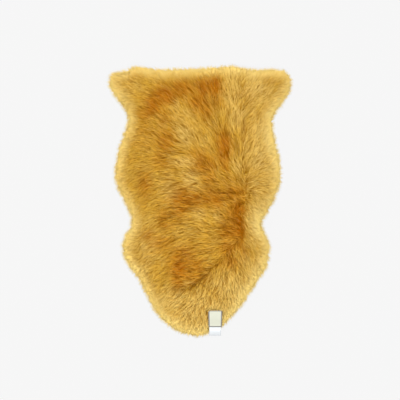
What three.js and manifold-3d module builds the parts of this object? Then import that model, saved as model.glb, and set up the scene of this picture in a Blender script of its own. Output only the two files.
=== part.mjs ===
// A single sheepskin rug, lying flat: one tanned skin with its long wool on, and the
// sewn label that shows at the narrow end. Millimetres, +Z up. Y runs along the skin,
// from the narrow end (-Y) to the flat end (+Y), and the floor is at z = 0.
//
// The skin and its wool are one piece, so they are one solid: a thin flat hide, and
// above it the pile as a lumpy slab that bulges out past the hide's edge, with
// tapered locks of wool standing out all round its rim.

import * as THREE from "three";
import { mergeVertices } from "three/addons/utils/BufferGeometryUtils.js";
import Module from "manifold-3d";

const wasm = await Module();
wasm.setup();

// Driving dimensions
const hideThickness = 2.5;
const hideInset = 34; // from the tips of the wool in to the cut edge of the hide
const undersideInset = 23; // where the wool leaves the floor behind it
const undersideHeight = 6;
const slabInset = 13; // from the tips of the wool in to the widest part of the slab
const slabRimHeight = 15;
const pileHeight = 41;
const pileShoulder = 48; // width of the rounding from the rim up to the full pile
const swell = { spacing: 84, height: 4 }; // broad unevenness of the pile
// Tufts of wool lying on the pile: low ridges that point away from the parting.
const tuft = {
  spacing: 47,
  rowSpacing: 38,
  jitter: 28, // how far a tuft may lie from its place in its row
  turn: 0.9, // how far its heading may differ from straight away, in radians
  length: 27,
  width: 13,
  lowest: 4,
  highest: 8.5,
};
const fieldAcross = 340; // half the width and half the length that the tufts cover
const fieldAlong = 490;

// How far the wool reaches left and right of the centre line, in sections from the
// flat end (with its two flared corners) past the waists to the narrow end.
const sections = [
  { station: 454, left: 309, right: 302 },
  { station: 433, left: 320, right: 320 },
  { station: 405, left: 320, right: 321 },
  { station: 373, left: 304, right: 311 },
  { station: 335, left: 274, right: 287 },
  { station: 302, left: 256, right: 261 },
  { station: 270, left: 256, right: 256 },
  { station: 230, left: 271, right: 262 },
  { station: 180, left: 287, right: 273 },
  { station: 120, left: 299, right: 284 },
  { station: 65, left: 297, right: 282 },
  { station: 15, left: 275, right: 267 },
  { station: -35, left: 251, right: 241 },
  { station: -75, left: 242, right: 218 },
  { station: -98, left: 250, right: 221 },
  { station: -125, left: 267, right: 237 },
  { station: -160, left: 275, right: 246 },
  { station: -200, left: 267, right: 242 },
  { station: -237, left: 246, right: 235 },
  { station: -272, left: 219, right: 211 },
  { station: -320, left: 193, right: 179 },
  { station: -365, left: 172, right: 149 },
  { station: -405, left: 145, right: 114 },
  { station: -437, left: 113, right: 82 },
  { station: -463, left: 66, right: 40 },
];
const narrowEnd = { across: -8, station: -475 };
// The flat end between its two corners, from the left to the right.
const flatEnd = [
  { across: -287, station: 457 },
  { across: -262, station: 461 },
  { across: -225, station: 474 },
  { across: -150, station: 465 },
  { across: -60, station: 466 },
  { across: 30, station: 470 },
  { across: 120, station: 475 },
  { across: 185, station: 463 },
  { across: 250, station: 465 },
];
// The four places where the grid of the slab has its corners.
const gridCorners = [
  { name: "left of the narrow end", across: -137, station: -412 },
  { name: "right of the narrow end", across: 103, station: -412 },
  { name: "right flared corner", across: 314, station: 442 },
  { name: "left flared corner", across: -317, station: 442 },
];
const gridAcross = 32;
const gridAlong = 52;
const rimCrowding = 0.3; // how much closer the grid lines stand near the rim

// Partings and creases, where the wool falls away to both sides: points along each.
// The first is the long parting that the rest of the wool lies away from.
const partings = [
  { depth: 10, width: 13, line: [[130, 295], [133, 145], [151, 40], [131, 0], [128, -85], [144, -125]] },
  { depth: 7, width: 12, line: [[151, 40], [95, 28], [42, 32]] },
  { depth: 8, width: 13, line: [[-62, -306], [-25, -295], [10, -270], [60, -218], [144, -125]] },
  { depth: 6, width: 14, line: [[-205, 98], [-190, 68]] },
];

// Locks round the rim
const lock = {
  pitch: 17.5,
  jitter: 0.35, // of the pitch
  rootInset: 30,
  rootHeight: 20,
  rootWidth: 14,
  thickness: 15,
  waistReach: 3, // how far outside the slab's widest line it starts to draw in
  waistWidth: 17,
  waistHeight: 14,
  tipWidth: 5,
  tipThickness: 3.5,
  tipHeight: 5,
  tipLift: 7,
  tipReach: 3,
  sway: 7,
};

// The sewn label, which comes out from under the hide at the narrow end, turns up
// round the rim and lies back on the wool.
const label = {
  centre: 53,
  width: 41,
  thickness: 1,
  tabStart: -392, // inner end of the tab, sewn flat under the hide
  tabEnd: -457,
  turn: -472, // the farthest that the label stands out
  topStart: -450,
  topEnd: -386,
  clearance: 1.5, // from the wool under its upper part
  floorGap: 0.3,
  steps: 44,
};
// The turn from the tab up to the wool: distance back from the turn, height above the tab.
const labelTurn = [
  { back: 4, up: 3 },
  { back: 0, up: 9 },
  { back: 2, up: 18 },
  { back: 9, up: 27 },
];
const patch = { low: -439, lowWidth: 46, high: -379, highWidth: 49, thickness: 1, gap: 0.3, steps: 10 };
const pocket = { length: 80, gap: 0.3 }; // pressed into the back of the hide by the tab
const pressed = 30; // how far beside the label the tufts are flattened

// A number from 0 to 1 that is always the same for the same place.
function scatter(i, j, seed) {
  const s = Math.sin(i * 127.1 + j * 311.7 + seed * 74.7) * 43758.5453;
  return s - Math.floor(s);
}

// Smooth noise from -1 to 1: scattered heights at whole numbers, eased between.
function noise(x, y, seed) {
  const i = Math.floor(x);
  const j = Math.floor(y);
  const ease = (t) => t * t * (3 - 2 * t);
  const u = ease(x - i);
  const v = ease(y - j);
  const low = THREE.MathUtils.lerp(scatter(i, j, seed), scatter(i + 1, j, seed), u);
  const high = THREE.MathUtils.lerp(scatter(i, j + 1, seed), scatter(i + 1, j + 1, seed), u);
  return 2 * THREE.MathUtils.lerp(low, high, v) - 1;
}

// The way from the nearest point of a line to a place, as far as it is long.
function awayFromLine(x, y, line) {
  const ways = line.slice(1).map(([bx, by], k) => {
    const [ax, ay] = line[k];
    const along = ((x - ax) * (bx - ax) + (y - ay) * (by - ay)) / ((bx - ax) ** 2 + (by - ay) ** 2);
    const t = THREE.MathUtils.clamp(along, 0, 1);
    return new THREE.Vector2(x - ax - t * (bx - ax), y - ay - t * (by - ay));
  });
  return ways.reduce((nearest, way) => (way.length() < nearest.length() ? way : nearest));
}

// The wool's outline as one closed smooth curve, anticlockwise from above.
const outline = new THREE.CatmullRomCurve3(
  [
    new THREE.Vector3(narrowEnd.across, narrowEnd.station, 0),
    ...sections.map((s) => new THREE.Vector3(s.right, s.station, 0)).reverse(),
    ...flatEnd.map((p) => new THREE.Vector3(p.across, p.station, 0)).reverse(),
    ...sections.map((s) => new THREE.Vector3(-s.left, s.station, 0)),
  ],
  true,
  "centripetal",
);
outline.arcLengthDivisions = 2000;

const fineCount = 1600;
const fineRim = outline.getSpacedPoints(fineCount).slice(0, fineCount);
// Outward directions, averaged over a short stretch so that the insets never cross.
const averagedOver = 26;
const fineOut = fineRim.map((_, i) => {
  const ahead = fineRim[(i + averagedOver) % fineCount];
  const behind = fineRim[(i - averagedOver + fineCount) % fineCount];
  const along = ahead.clone().sub(behind).normalize();
  return new THREE.Vector3(along.y, -along.x, 0);
});

// A place on the rim by its share of the way round, moved in by an inset and raised.
function rimPoint(share, inset, height) {
  const exact = (((share % 1) + 1) % 1) * fineCount;
  const i = Math.floor(exact) % fineCount;
  const next = (i + 1) % fineCount;
  const t = exact - Math.floor(exact);
  const point = fineRim[i].clone().lerp(fineRim[next], t);
  const out = fineOut[i].clone().lerp(fineOut[next], t).normalize();
  return point.addScaledVector(out, -inset).setZ(height);
}

function shareNearest({ across, station }) {
  const gaps = fineRim.map((p) => Math.hypot(p.x - across, p.y - station));
  return gaps.indexOf(Math.min(...gaps)) / fineCount;
}

// Shares of the way along a side of the grid, closer together near its two ends.
function crowded(k, count) {
  const t = k / count;
  return t - (rimCrowding * Math.sin(2 * Math.PI * t)) / (2 * Math.PI);
}

const cornerShares = gridCorners.map(shareNearest);
function sideShare(side, t) {
  const from = cornerShares[side];
  const to = cornerShares[(side + 1) % 4];
  return from + (((to - from) % 1) + 1) % 1 * t;
}

// The widest line of the slab, sampled where the grid meets it, anticlockwise.
const counts = [gridAcross, gridAlong, gridAcross, gridAlong];
const rimShares = counts.flatMap((count, side) =>
  Array.from({ length: count }, (_, k) => sideShare(side, crowded(k, count))),
);

// A Coons patch: each inside point is the blend of the four sides of the outline.
const slabRim = (side, t) => rimPoint(sideShare(side, t), slabInset, slabRimHeight);
function slabPoint(u, v) {
  const corners = [0, 1, 2, 3].map((side) => slabRim(side, 0));
  const across = slabRim(0, u).multiplyScalar(1 - v).addScaledVector(slabRim(2, 1 - u), v);
  const along = slabRim(3, 1 - v).multiplyScalar(1 - u).addScaledVector(slabRim(1, v), u);
  const twice = corners[0].multiplyScalar((1 - u) * (1 - v))
    .addScaledVector(corners[1], u * (1 - v))
    .addScaledVector(corners[2], u * v)
    .addScaledVector(corners[3], (1 - u) * v);
  return across.add(along).sub(twice);
}

// How much of the tufts is left at a place: the label presses them flat.
function tuftShare(x, y) {
  const beside = Math.max(Math.abs(x - label.centre) - label.width / 2 - 4, y - label.topEnd, 0);
  return THREE.MathUtils.smoothstep(beside, 0, pressed);
}

const slabRimLine = fineRim
  .map((_, i) => rimPoint(i / fineCount, slabInset, 0))
  .filter((_, i) => i % 4 === 0);

// Where each tuft lies and which way it points, scattered on a loose grid.
const tufts = [];
for (let j = -Math.ceil(fieldAlong / tuft.rowSpacing); j * tuft.rowSpacing < fieldAlong; j += 1) {
  for (let i = -Math.ceil(fieldAcross / tuft.spacing); i * tuft.spacing < fieldAcross; i += 1) {
    const x = (i + 0.5 * (j % 2)) * tuft.spacing + tuft.jitter * (scatter(i, j, 21) - 0.5);
    const y = j * tuft.rowSpacing + tuft.jitter * (scatter(i, j, 22) - 0.5);
    const heading = awayFromLine(x, y, partings[0].line).angle() + tuft.turn * (scatter(i, j, 23) - 0.5);
    const height = THREE.MathUtils.lerp(tuft.lowest, tuft.highest, scatter(i, j, 24));
    tufts.push({ x, y, height, along: new THREE.Vector2(Math.cos(heading), Math.sin(heading)) });
  }
}

function tuftHeight(x, y) {
  return tufts.reduce((sum, { x: tx, y: ty, height, along }) => {
    const forward = ((x - tx) * along.x + (y - ty) * along.y) / tuft.length;
    const aside = ((y - ty) * along.x - (x - tx) * along.y) / tuft.width;
    return sum + height * Math.exp(-forward * forward - aside * aside);
  }, 0);
}

// Height of the wool above the floor: rounded up from the rim, uneven and tufted on
// top, with troughs along the partings.
function woolHeight(x, y) {
  const fromRim = Math.min(...slabRimLine.map((p) => Math.hypot(p.x - x, p.y - y)));
  const rise = 1 - THREE.MathUtils.clamp(fromRim / pileShoulder, 0, 1);
  const round = Math.sqrt(1 - rise * rise);
  const uneven = swell.height * noise(x / swell.spacing, y / swell.spacing, 3) + tuftHeight(x, y);
  const troughs = partings.map(({ depth, width, line }) => {
    return depth * Math.exp(-((awayFromLine(x, y, line).length() / width) ** 2));
  });
  const top = pileHeight + uneven * tuftShare(x, y) - Math.max(...troughs);
  return slabRimHeight + (top - slabRimHeight) * round;
}

// A closed solid from points and triangles.
function solidFrom(points, triangles) {
  return new wasm.Manifold(
    new wasm.Mesh({
      numProp: 3,
      vertProperties: new Float32Array(points.flatMap((p) => [p.x, p.y, p.z])),
      triVerts: new Uint32Array(triangles.flat()),
    }),
  );
}

// The same, turned inside out where the triangles were listed the wrong way round.
function outward(points, triangles) {
  const made = solidFrom(points, triangles);
  return made.volume() > 0 ? made : solidFrom(points, triangles.map(([a, b, c]) => [a, c, b]));
}

// The hide and the pile without its locks.
function buildSlab() {
  const ringCount = rimShares.length;
  const rings = [
    { inset: hideInset, height: 0 },
    { inset: hideInset, height: hideThickness },
    { inset: undersideInset, height: undersideHeight },
    { inset: slabInset, height: slabRimHeight },
  ];
  const points = rings.flatMap((r) => rimShares.map((s) => rimPoint(s, r.inset, r.height)));
  const triangles = THREE.ShapeUtils.triangulateShape(points.slice(0, ringCount), [])
    .map(([a, b, c]) => [a, c, b]);
  for (let r = 0; r < rings.length - 1; r += 1) {
    for (let k = 0; k < ringCount; k += 1) {
      const a = r * ringCount + k;
      const b = r * ringCount + ((k + 1) % ringCount);
      triangles.push([a, b, b + ringCount], [a, b + ringCount, a + ringCount]);
    }
  }
  // The last ring is the edge of the grid, so the grid's edge takes its points.
  const rimStart = (rings.length - 1) * ringCount;
  const onRim = (i, j) => {
    if (j === 0) return i;
    if (i === gridAcross) return gridAcross + j;
    if (j === gridAlong) return gridAcross + gridAlong + (gridAcross - i);
    return (2 * gridAcross + gridAlong + (gridAlong - j)) % ringCount;
  };
  const index = [];
  for (let j = 0; j <= gridAlong; j += 1) {
    index.push([]);
    for (let i = 0; i <= gridAcross; i += 1) {
      if (i === 0 || j === 0 || i === gridAcross || j === gridAlong) {
        index[j].push(rimStart + onRim(i, j));
      } else {
        const p = slabPoint(crowded(i, gridAcross), crowded(j, gridAlong));
        index[j].push(points.length);
        points.push(p.setZ(woolHeight(p.x, p.y)));
      }
    }
  }
  for (let j = 0; j < gridAlong; j += 1) {
    for (let i = 0; i < gridAcross; i += 1) {
      const [a, b, c, d] = [index[j][i], index[j][i + 1], index[j + 1][i + 1], index[j + 1][i]];
      if ((i + j) % 2) triangles.push([a, b, c], [a, c, d]);
      else triangles.push([a, b, d], [b, c, d]);
    }
  }
  return solidFrom(points, triangles);
}

// One lock: a flattened tuft from inside the slab out to its blunt tip. It stays wide
// as far as the rim and only then draws in.
function buildLock(share, n) {
  const sideways = (scatter(n, 1, 5) - 0.5) * 2 * lock.sway;
  const reach = lock.tipReach * (scatter(n, 2, 5) - 0.5) * 2;
  const tipHeight = lock.tipHeight + scatter(n, 3, 5) * lock.tipLift;
  const root = rimPoint(share, lock.rootInset, lock.rootHeight);
  const waist = rimPoint(share, slabInset - lock.waistReach, lock.waistHeight);
  const out = waist.clone().sub(root).setZ(0).normalize();
  const beside = new THREE.Vector3(-out.y, out.x, 0);
  waist.addScaledVector(beside, sideways * 0.4);
  const tip = rimPoint(share, -reach, tipHeight).addScaledVector(beside, sideways);
  const corners = (at, width, thickness) => [
    at.clone().addScaledVector(beside, -width / 2).setZ(at.z - thickness * 0.35),
    at.clone().addScaledVector(beside, width / 2).setZ(at.z - thickness * 0.35),
    at.clone().setZ(at.z + thickness * 0.65),
  ];
  const points = [
    ...corners(root, lock.rootWidth, lock.thickness),
    ...corners(waist, lock.waistWidth, lock.thickness * 0.8),
    ...corners(tip, lock.tipWidth, lock.tipThickness),
  ];
  const triangles = [[0, 2, 1], [6, 7, 8]];
  for (const a of [0, 3]) {
    for (let k = 0; k < 3; k += 1) {
      const b = (k + 1) % 3;
      triangles.push([a + k, a + b, a + 3 + b], [a + k, a + 3 + b, a + 3 + k]);
    }
  }
  return outward(points, triangles);
}

function buildLocks() {
  const count = Math.round(outline.getLength() / lock.pitch);
  const locks = [];
  for (let n = 0; n < count; n += 1) {
    const share = (n + (scatter(n, 4, 5) - 0.5) * lock.jitter) / count;
    const tip = rimPoint(share, 0, 0);
    const keptClear = (label.width + lock.waistWidth) / 2 + lock.sway;
    const underLabel = Math.abs(tip.x - label.centre) < keptClear && tip.y < 0;
    if (!underLabel) locks.push(buildLock(share, n));
  }
  return locks;
}

// The label's path from the tab under the hide, round the rim, to its end on the wool.
function labelPath() {
  const low = label.floorGap + label.thickness / 2;
  const across = [-0.5, -0.25, 0, 0.25, 0.5].map((k) => label.centre + k * (label.width + 4));
  const onWool = (y) => {
    return Math.max(...across.map((x) => woolHeight(x, y))) + label.clearance + label.thickness / 2;
  };
  const tab = [0, 0.6, 1].map((t) => [THREE.MathUtils.lerp(label.tabStart, label.tabEnd, t), low]);
  const turn = labelTurn.map(({ back, up }) => [label.turn + back, low + up]);
  const top = [0, 0.3, 0.65, 1].map((t) => {
    const y = THREE.MathUtils.lerp(label.topStart, label.topEnd, t);
    return [y, onWool(y)];
  });
  return new THREE.CatmullRomCurve3(
    [...tab, ...turn, ...top].map(([y, z]) => new THREE.Vector3(label.centre, y, z)),
    false,
    "centripetal",
  );
}

// A strip of cloth along a path in a plane of constant X, wider or narrower at its end.
function strip(points, thickness, startWidth, endWidth) {
  const corners = [];
  const triangles = [];
  points.forEach((p, i) => {
    const ahead = points[Math.min(i + 1, points.length - 1)];
    const behind = points[Math.max(i - 1, 0)];
    const along = ahead.clone().sub(behind).normalize();
    const up = new THREE.Vector3(0, -along.z, along.y).multiplyScalar(thickness / 2);
    const half = THREE.MathUtils.lerp(startWidth, endWidth, i / (points.length - 1)) / 2;
    for (const [side, face] of [[-1, -1], [1, -1], [1, 1], [-1, 1]]) {
      corners.push(p.clone().addScaledVector(up, face).add(new THREE.Vector3(side * half, 0, 0)));
    }
    if (i === 0) return;
    const now = 4 * i;
    for (let k = 0; k < 4; k += 1) {
      const next = (k + 1) % 4;
      triangles.push([now - 4 + k, now - 4 + next, now + next], [now - 4 + k, now + next, now + k]);
    }
  });
  const end = corners.length - 4;
  triangles.push([0, 2, 1], [0, 3, 2], [end, end + 1, end + 2], [end, end + 2, end + 3]);
  return outward(corners, triangles);
}

function buildLabel() {
  return strip(labelPath().getSpacedPoints(label.steps), label.thickness, label.width, label.width);
}

// The smaller panel, which is sewn on the label's upper end and reaches a little past it.
function buildPatch() {
  const raise = (label.thickness + patch.thickness) / 2 + patch.gap;
  const onTop = labelPath().getSpacedPoints(400).slice(200);
  const points = Array.from({ length: patch.steps + 1 }, (_, k) => {
    const y = THREE.MathUtils.lerp(patch.low, patch.high, k / patch.steps);
    const below = onTop.reduce((best, p) => (Math.abs(p.y - y) < Math.abs(best.y - y) ? p : best));
    return new THREE.Vector3(label.centre, y, below.z + raise);
  });
  return strip(points, patch.thickness, patch.lowWidth, patch.highWidth);
}

function buildPocket() {
  const depth = label.floorGap + label.thickness + pocket.gap;
  const box = new THREE.BoxGeometry(label.width + 2 * pocket.gap, pocket.length, 2 * depth);
  box.translate(label.centre, label.tabStart + pocket.gap - pocket.length / 2, 0);
  return fromGeometry(box);
}

function fromGeometry(geometry) {
  geometry.deleteAttribute("normal");
  geometry.deleteAttribute("uv");
  const merged = mergeVertices(geometry);
  return new wasm.Manifold(
    new wasm.Mesh({
      numProp: 3,
      vertProperties: merged.attributes.position.array,
      triVerts: new Uint32Array(merged.index.array),
    }),
  );
}

function meshOf(solid, name, material) {
  const made = solid.getMesh();
  const geometry = new THREE.BufferGeometry();
  geometry.setAttribute("position", new THREE.BufferAttribute(made.vertProperties, 3));
  geometry.setIndex(new THREE.BufferAttribute(made.triVerts, 1));
  geometry.computeVertexNormals();
  const mesh = new THREE.Mesh(geometry, material);
  mesh.name = name;
  return mesh;
}

const wool = new THREE.MeshStandardMaterial({ color: 0xcf9a3f, roughness: 0.95, metalness: 0 });
const satin = new THREE.MeshStandardMaterial({ color: 0xf1f1ef, roughness: 0.55, metalness: 0 });
const card = new THREE.MeshStandardMaterial({ color: 0xeeeedd, roughness: 0.7, metalness: 0 });

const skin = wasm.Manifold.union([buildSlab(), ...buildLocks()]).subtract(buildPocket());

const rug = new THREE.Group();
rug.add(
  meshOf(skin, "sheepskin", wool),
  meshOf(buildLabel(), "edge_label", satin),
  meshOf(buildPatch(), "label_patch", card),
);

// The origin is on the floor, under the middle of the whole rug.
const extent = new THREE.Box3().setFromObject(rug);
rug.position.set(-(extent.min.x + extent.max.x) / 2, -(extent.min.y + extent.max.y) / 2, -extent.min.z);

export default rug;
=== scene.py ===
# A single sheepskin rug lying flat, wool side up, with a sewn label at its narrow end.
# The shape functions work in millimetres from the middle of the wool, with Y along the
# skin towards its flat end, and placed() turns their points into the frame's metres.
import math

import bpy
import numpy as np
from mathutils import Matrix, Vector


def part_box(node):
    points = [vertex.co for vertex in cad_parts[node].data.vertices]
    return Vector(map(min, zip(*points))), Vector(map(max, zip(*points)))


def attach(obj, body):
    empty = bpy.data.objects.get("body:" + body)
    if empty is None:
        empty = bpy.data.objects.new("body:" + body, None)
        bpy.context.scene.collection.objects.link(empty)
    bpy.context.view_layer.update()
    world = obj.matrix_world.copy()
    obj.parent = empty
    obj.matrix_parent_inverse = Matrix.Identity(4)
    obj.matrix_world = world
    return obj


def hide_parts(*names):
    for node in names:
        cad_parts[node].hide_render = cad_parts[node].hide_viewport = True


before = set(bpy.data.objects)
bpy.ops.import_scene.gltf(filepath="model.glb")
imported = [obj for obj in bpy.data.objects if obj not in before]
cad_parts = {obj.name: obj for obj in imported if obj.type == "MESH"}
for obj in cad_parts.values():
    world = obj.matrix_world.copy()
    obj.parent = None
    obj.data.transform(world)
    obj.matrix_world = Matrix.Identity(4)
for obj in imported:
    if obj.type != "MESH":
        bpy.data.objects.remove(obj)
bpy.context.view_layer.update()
print("frame loaded")


# Outline and height of the wool, as the solids have them

skin = {
    # station along the skin, and how far the wool reaches left and right of the middle
    "sections": [
        (454, 309, 302), (433, 320, 320), (405, 320, 321), (373, 304, 311), (335, 274, 287),
        (302, 256, 261), (270, 256, 256), (230, 271, 262), (180, 287, 273), (120, 299, 284),
        (65, 297, 282), (15, 275, 267), (-35, 251, 241), (-75, 242, 218), (-98, 250, 221),
        (-125, 267, 237), (-160, 275, 246), (-200, 267, 242), (-237, 246, 235), (-272, 219, 211),
        (-320, 193, 179), (-365, 172, 149), (-405, 145, 114), (-437, 113, 82), (-463, 66, 40),
    ],
    "narrowEnd": (-8, -475),
    "flatEnd": [
        (-287, 457), (-262, 461), (-225, 474), (-150, 465), (-60, 466),
        (30, 470), (120, 475), (185, 463), (250, 465),
    ],
    "slabInset": 13,       # from the tips of the wool in to the widest part of the solid
    "slabRimHeight": 15,
    "rimHeight": 4,        # where the wool reaches the floor at the rim
    "rimSoft": 2,
    "partingShare": 0.35,  # how much of the partings' depth the loose wool leaves open
    "tuftShare": 0.55,     # and how much of the tufts' height it keeps
    "pileHeight": 41,
    "pileShoulder": 48,    # width of the rounding from the rim up to the full pile
    "swellSpacing": 84,
    "swellHeight": 4,
    "swellSeed": 3,
}
tuft = {
    "spacing": 47, "rowSpacing": 38, "jitter": 28, "turn": 0.9,
    "length": 27, "width": 13, "lowest": 4, "highest": 8.5,
    "fieldAcross": 340, "fieldAlong": 490,
}
# Partings and creases: how deep, how wide, and the points along each
partings = [
    (10, 13, [(130, 295), (133, 145), (151, 40), (131, 0), (128, -85), (144, -125)]),
    (7, 12, [(151, 40), (95, 28), (42, 32)]),
    (8, 13, [(-62, -306), (-25, -295), (10, -270), (60, -218), (144, -125)]),
    (6, 14, [(-205, 98), (-190, 68)]),
]
label = {
    "centre": 53, "width": 41, "thickness": 1, "tabStart": -392, "tabEnd": -457, "turn": -472,
    "topStart": -450, "topEnd": -386, "clearance": 1.5, "floorGap": 0.3,
    "clearWidth": 4,      # how much wider than the ribbon the wool is looked at under it
    "pressedFrom": 4,     # past the ribbon the tufts rise from flat to full
    "pressed": 30,
    "turnPoints": [(4, 3), (0, 9), (2, 18), (9, 27)],  # back from the turn, and up
}
panel = {"low": -439, "lowWidth": 46, "high": -379, "highWidth": 49, "thickness": 1, "gap": 0.3}
chart = {
    "step": 4, "across": 340, "along": 500,
    "reach": 42,                # how far a charted heading carries
    "acrossDivide": 0.01,       # and how little of it across the dividing line
    "outward": 1.1, "outwardFrom": (-55, -8),
    "ragged": (7, 19, 63, 64),  # how far the divide wanders, over what size, and two seeds
    "evened": 2,
    "waves": [(16, 28, 61), (15, 12, 62)],  # degrees, size and seed
    "ruffled": (48, 13, 65),                # and where the wool is ruffled
}
streak = {
    "width": 2.5, "stride": 2.6, "steps": 6, "spread": 1.3,
    "height": 0.6,              # of the ridges
    "groove": 1.3,              # depth of the grooves between locks
    "grooveFrom": (0.1, 0.95),  # how far below the middle a groove starts, and is full
    "seed": 71,
    "fromRim": (0, 150),        # they are fainter towards the rim
    "leastAtRim": 0.15,
}
labelLow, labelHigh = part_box("edge_label")
shift = np.array([
    (labelLow.x + labelHigh.x) / 2 - label["centre"] * 0.001,
    labelHigh.y - label["topEnd"] * 0.001,
    0.0,
])


# millimetres of the drawing to metres of the frame
def placed(points):
    return np.asarray(points, float) * 0.001 + shift


# the way along a line to each of its points
def wayAlong(points):
    return np.concatenate([[0], np.cumsum(np.linalg.norm(np.diff(points, axis=0), axis=1))])


# the places at given ways along a line
def placesAlong(line, at):
    return np.stack([np.interp(at, wayAlong(line), line[:, k]) for k in range(line.shape[1])], 1)


# A centripetal curve through the points: on each stretch a cubic whose end slopes come
# from its neighbours, weighted by the square roots of the gaps; then spaced evenly.
def curveThrough(points, count, closed):
    p = np.asarray(points, float)
    if closed:
        p = np.vstack([p[-1:], p, p[:2]])
    else:
        p = np.vstack([2 * p[0] - p[1], p, 2 * p[-1] - p[-2]])
    p0, p1, p2, p3 = p[:-3], p[1:-2], p[2:-1], p[3:]
    gap = lambda a, b: np.sqrt(np.linalg.norm(b - a, axis=1))[:, None]
    d0, d1, d2 = gap(p0, p1), gap(p1, p2), gap(p2, p3)
    s1 = ((p1 - p0) / d0 - (p2 - p0) / (d0 + d1) + (p2 - p1) / d1) * d1
    s2 = ((p2 - p1) / d1 - (p3 - p1) / (d1 + d2) + (p3 - p2) / d2) * d1
    steps = 80
    t = (np.arange(steps) / steps)[None, :, None]
    a, b, c, d = (v[:, None, :] for v in (p1, s1, 3 * (p2 - p1) - 2 * s1 - s2, 2 * (p1 - p2) + s1 + s2))
    dense = np.vstack([(a + b * t + c * t**2 + d * t**3).reshape(-1, p1.shape[1]), p2[-1:]])
    return placesAlong(dense, np.linspace(0, wayAlong(dense)[-1], count, endpoint=not closed))


rimCount = 1600
rimSpan = 26  # points on each side that give the rim's direction at a point
rimLine = curveThrough(
    [skin["narrowEnd"]]
    + [(right, station) for station, left, right in skin["sections"]][::-1]
    + skin["flatEnd"][::-1]
    + [(-left, station) for station, left, right in skin["sections"]],
    rimCount, True,
)
rimAlong = np.roll(rimLine, -rimSpan, 0) - np.roll(rimLine, rimSpan, 0)
rimAlong /= np.linalg.norm(rimAlong, axis=1)[:, None]
rimOut = np.stack([rimAlong[:, 1], -rimAlong[:, 0]], 1)
heart = np.array([0.0, 120.0])  # every place on the rim can be seen from here


# places on the rim by their share of the way round, moved in by an inset
def rimAt(share, inset):
    exact = (np.asarray(share) % 1) * rimCount
    i = np.floor(exact).astype(int) % rimCount
    t = (exact - np.floor(exact))[..., None]
    point = rimLine[i] * (1 - t) + rimLine[(i + 1) % rimCount] * t
    out = rimOut[i] * (1 - t) + rimOut[(i + 1) % rimCount] * t
    out /= np.linalg.norm(out, axis=-1)[..., None]
    return point - out * np.asarray(inset)[..., None]


# How far inside the tips' outline each place lies, and the way out of the rim nearest to it.
# Near the rim it is the distance along that way, so that it changes sign at the outline.
def insetOf(places):
    nearRim, atOnce = 25, 4000
    inset, outward = np.empty(len(places)), np.empty((len(places), 2))
    line, out = rimLine[::3], rimOut[::3]
    for part in np.array_split(np.arange(len(places)), max(1, len(places) // atOnce)):
        gaps = ((places[part, None, :] - line[None]) ** 2).sum(2)
        nearest = gaps.argmin(1)
        far = np.sqrt(gaps.min(1))
        inward = -((places[part] - line[nearest]) * out[nearest]).sum(1)
        inset[part] = np.where(far < nearRim, inward, np.sign(inward) * far)
        outward[part] = out[nearest]
    return inset, outward


# a number from 0 to 1 that is always the same for the same place
def scatter(i, j, seed):
    s = np.sin(i * 127.1 + j * 311.7 + seed * 74.7) * 43758.5453
    return s - np.floor(s)


# smooth noise from -1 to 1: scattered heights at whole numbers, eased between
def noise(x, y, seed):
    i, j = np.floor(x), np.floor(y)
    u, v = x - i, y - j
    u, v = u * u * (3 - 2 * u), v * v * (3 - 2 * v)
    low = scatter(i, j, seed) * (1 - u) + scatter(i + 1, j, seed) * u
    high = scatter(i, j + 1, seed) * (1 - u) + scatter(i + 1, j + 1, seed) * u
    return 2 * (low * (1 - v) + high * v) - 1


# that noise at places, its bumps about a size across
def noiseAt(places, size, seed):
    return noise(places[..., 0] / size, places[..., 1] / size, seed)


# 0 up to low, 1 from high, eased between
def smoothStep(x, low, high):
    t = np.clip((x - low) / (high - low), 0, 1)
    return t * t * (3 - 2 * t)


# each row turned to unit length
def unit(rows):
    return rows / (np.linalg.norm(rows, axis=-1)[..., None] + 1e-9)


# flat arrows turned to the left by angles
def turned(arrows, angle):
    c, s = np.cos(angle)[..., None], np.sin(angle)[..., None]
    return arrows * c + np.stack([-arrows[..., 1], arrows[..., 0]], -1) * s


# the straight stretches of a line, as pairs of ends
def stretches(line):
    return zip(np.array(line[:-1], float), np.array(line[1:], float))


# the way from the nearest point of a line to each place: shape (places, 2)
def awayFromLine(places, line):
    best = np.full((len(places), 2), 1e9)
    for a, b in stretches(line):
        t = np.clip((places - a) @ (b - a) / ((b - a) @ (b - a)), 0, 1)
        way = places - a - t[:, None] * (b - a)
        nearer = (way**2).sum(1) < (best**2).sum(1)
        best[nearer] = way[nearer]
    return best


# 1 on a line, falling smoothly to nothing away from it
def nearLine(places, line, width):
    return np.exp(-(awayFromLine(places, line) ** 2).sum(1) / width**2)


# The tufts of the solids: places in staggered rows, each moved and turned by scattered
# amounts, with headings that point away from the parting.
def tuftField():
    rowsUp, placesOut = tuft["fieldAlong"] / tuft["rowSpacing"], tuft["fieldAcross"] / tuft["spacing"]
    rows = np.arange(-math.ceil(rowsUp), rowsUp)
    columns = np.arange(-math.ceil(placesOut), placesOut)
    j, i = (a.ravel() for a in np.meshgrid(rows, columns, indexing="ij"))
    x = (i + 0.5 * np.fmod(j, 2)) * tuft["spacing"] + tuft["jitter"] * (scatter(i, j, 21) - 0.5)
    y = j * tuft["rowSpacing"] + tuft["jitter"] * (scatter(i, j, 22) - 0.5)
    away = awayFromLine(np.stack([x, y], 1), partings[0][2])
    heading = np.arctan2(away[:, 1], away[:, 0]) + tuft["turn"] * (scatter(i, j, 23) - 0.5)
    height = tuft["lowest"] + (tuft["highest"] - tuft["lowest"]) * scatter(i, j, 24)
    return x, y, height, np.cos(heading), np.sin(heading)


tufts = tuftField()


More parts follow.
